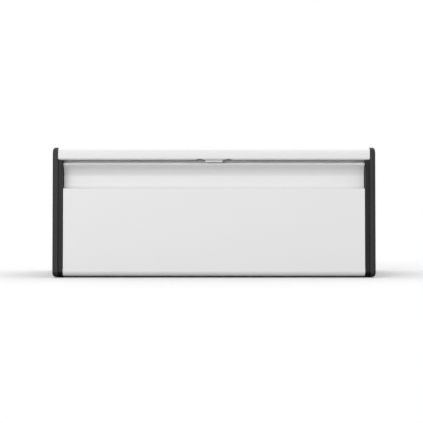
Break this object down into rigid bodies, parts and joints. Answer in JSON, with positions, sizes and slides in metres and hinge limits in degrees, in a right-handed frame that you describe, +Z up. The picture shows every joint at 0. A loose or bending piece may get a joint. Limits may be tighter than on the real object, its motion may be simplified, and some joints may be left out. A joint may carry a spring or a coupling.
{
  "type": "bread box",
  "caption": "Rectangular bread box with a folded steel shell, plastic side panels and a fall-front steel door hinged along its bottom edge, with a finger channel and a magnetic catch.",
  "frame": {"origin": "middle of the footprint, on the surface that the feet stand on", "axes": "+X to the right seen from the front, -Y towards the front with the door, +Z up"},
  "size_m": [0.465, 0.265, 0.1875],
  "materials": {
    "white_paint": "satin",
    "grey_paint": "satin",
    "liner_steel": "satin",
    "dark_grey_plastic": "fine moulded texture",
    "black_plastic": "smooth moulded",
    "light_grey_plastic": "smooth moulded",
    "rubber": "moulded",
    "nylon": "smooth moulded",
    "magnet": "sintered ferrite",
    "plated_steel": "zinc plated"
  },
  "bodies": {
    "cabinet": {"top_back_shell": "white_paint", "base_tray": "grey_paint", "left_side_frame": "black_plastic", "right_side_frame": "black_plastic", "left_side_cover": "dark_grey_plastic", "right_side_cover": "dark_grey_plastic", "left_hinge_bush": "nylon", "right_hinge_bush": "nylon", "magnet_holder": "light_grey_plastic", "catch_magnet": "magnet", "left_door_buffer": "rubber", "right_door_buffer": "rubber", "front_left_foot": "rubber", "front_right_foot": "rubber", "rear_left_foot": "rubber", "rear_right_foot": "rubber", "left_cover_screws": "plated_steel", "right_cover_screws": "plated_steel", "base_screws": "plated_steel", "rear_rivets": "plated_steel"},
    "door": {"door_panel": "white_paint", "door_liner": "liner_steel", "left_door_end": "light_grey_plastic", "right_door_end": "light_grey_plastic", "left_hinge_pin": "plated_steel", "right_hinge_pin": "plated_steel", "door_liner_screws": "plated_steel"}
  },
  "joints": [
    {"name": "door_hinge", "type": "hinge", "parent": "cabinet", "child": "door", "pos_m": [0, -0.1245, 0.009], "axis": [1, 0, 0], "range_deg": [0, 92]}
  ]
}
